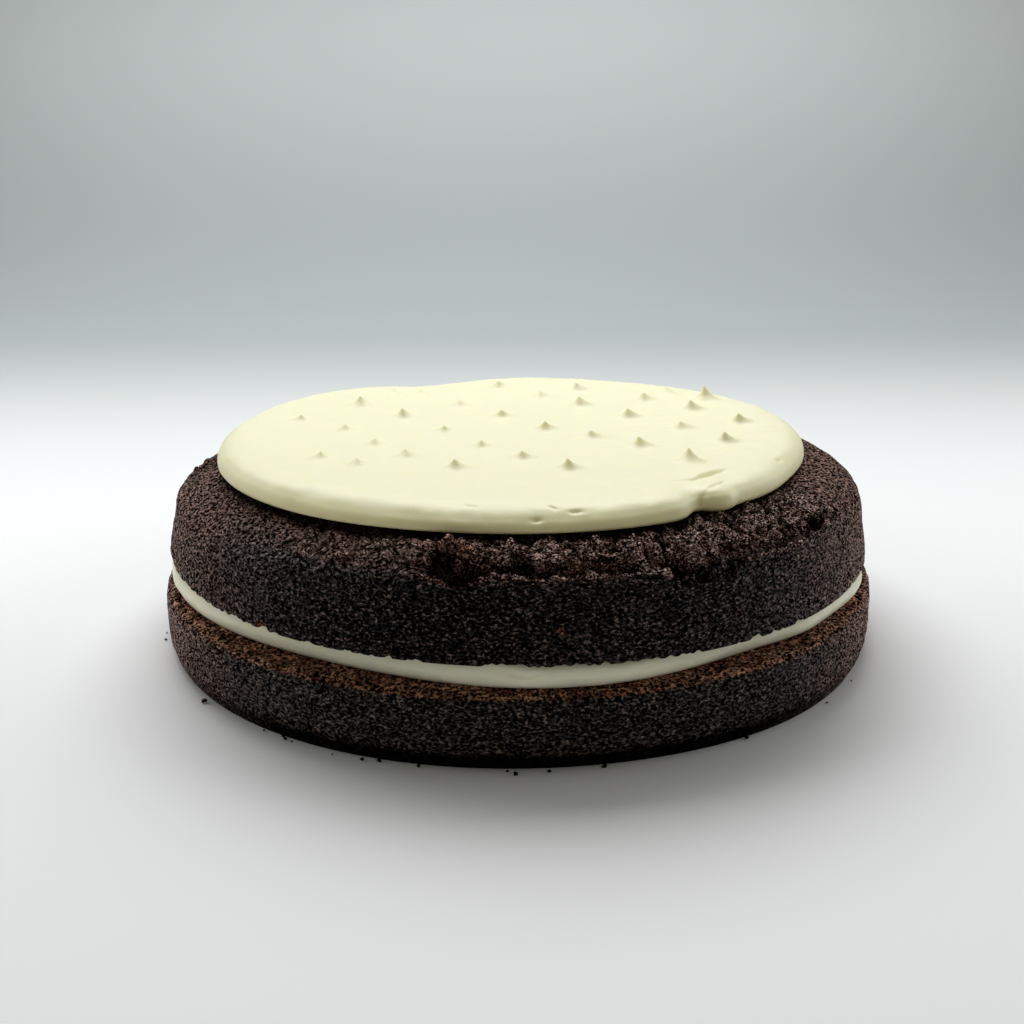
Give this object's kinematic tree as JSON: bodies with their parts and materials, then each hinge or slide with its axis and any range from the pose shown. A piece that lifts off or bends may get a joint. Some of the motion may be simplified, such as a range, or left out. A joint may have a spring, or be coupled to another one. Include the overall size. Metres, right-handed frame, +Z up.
{
  "type": "chocolate layer cake",
  "caption": "Round two-layer chocolate sponge cake with a cream filling and a spread cream topping drawn up into small peaks.",
  "frame": {"origin": "centre of the round foot, on the surface that the cake stands on", "axes": "+Z up through the layers, -Y towards the pictured front, +X to its right"},
  "size_m": [0.2382, 0.2396, 0.0709],
  "materials": {
    "sponge": "matt, dark brown, porous baked crumb",
    "cream": "smooth, soft sheen, pale ivory cream"
  },
  "bodies": {
    "root": {"lower_sponge": "sponge", "cream_filling": "cream", "upper_sponge": "sponge", "cream_topping": "cream"}
  },
  "joints": []
}
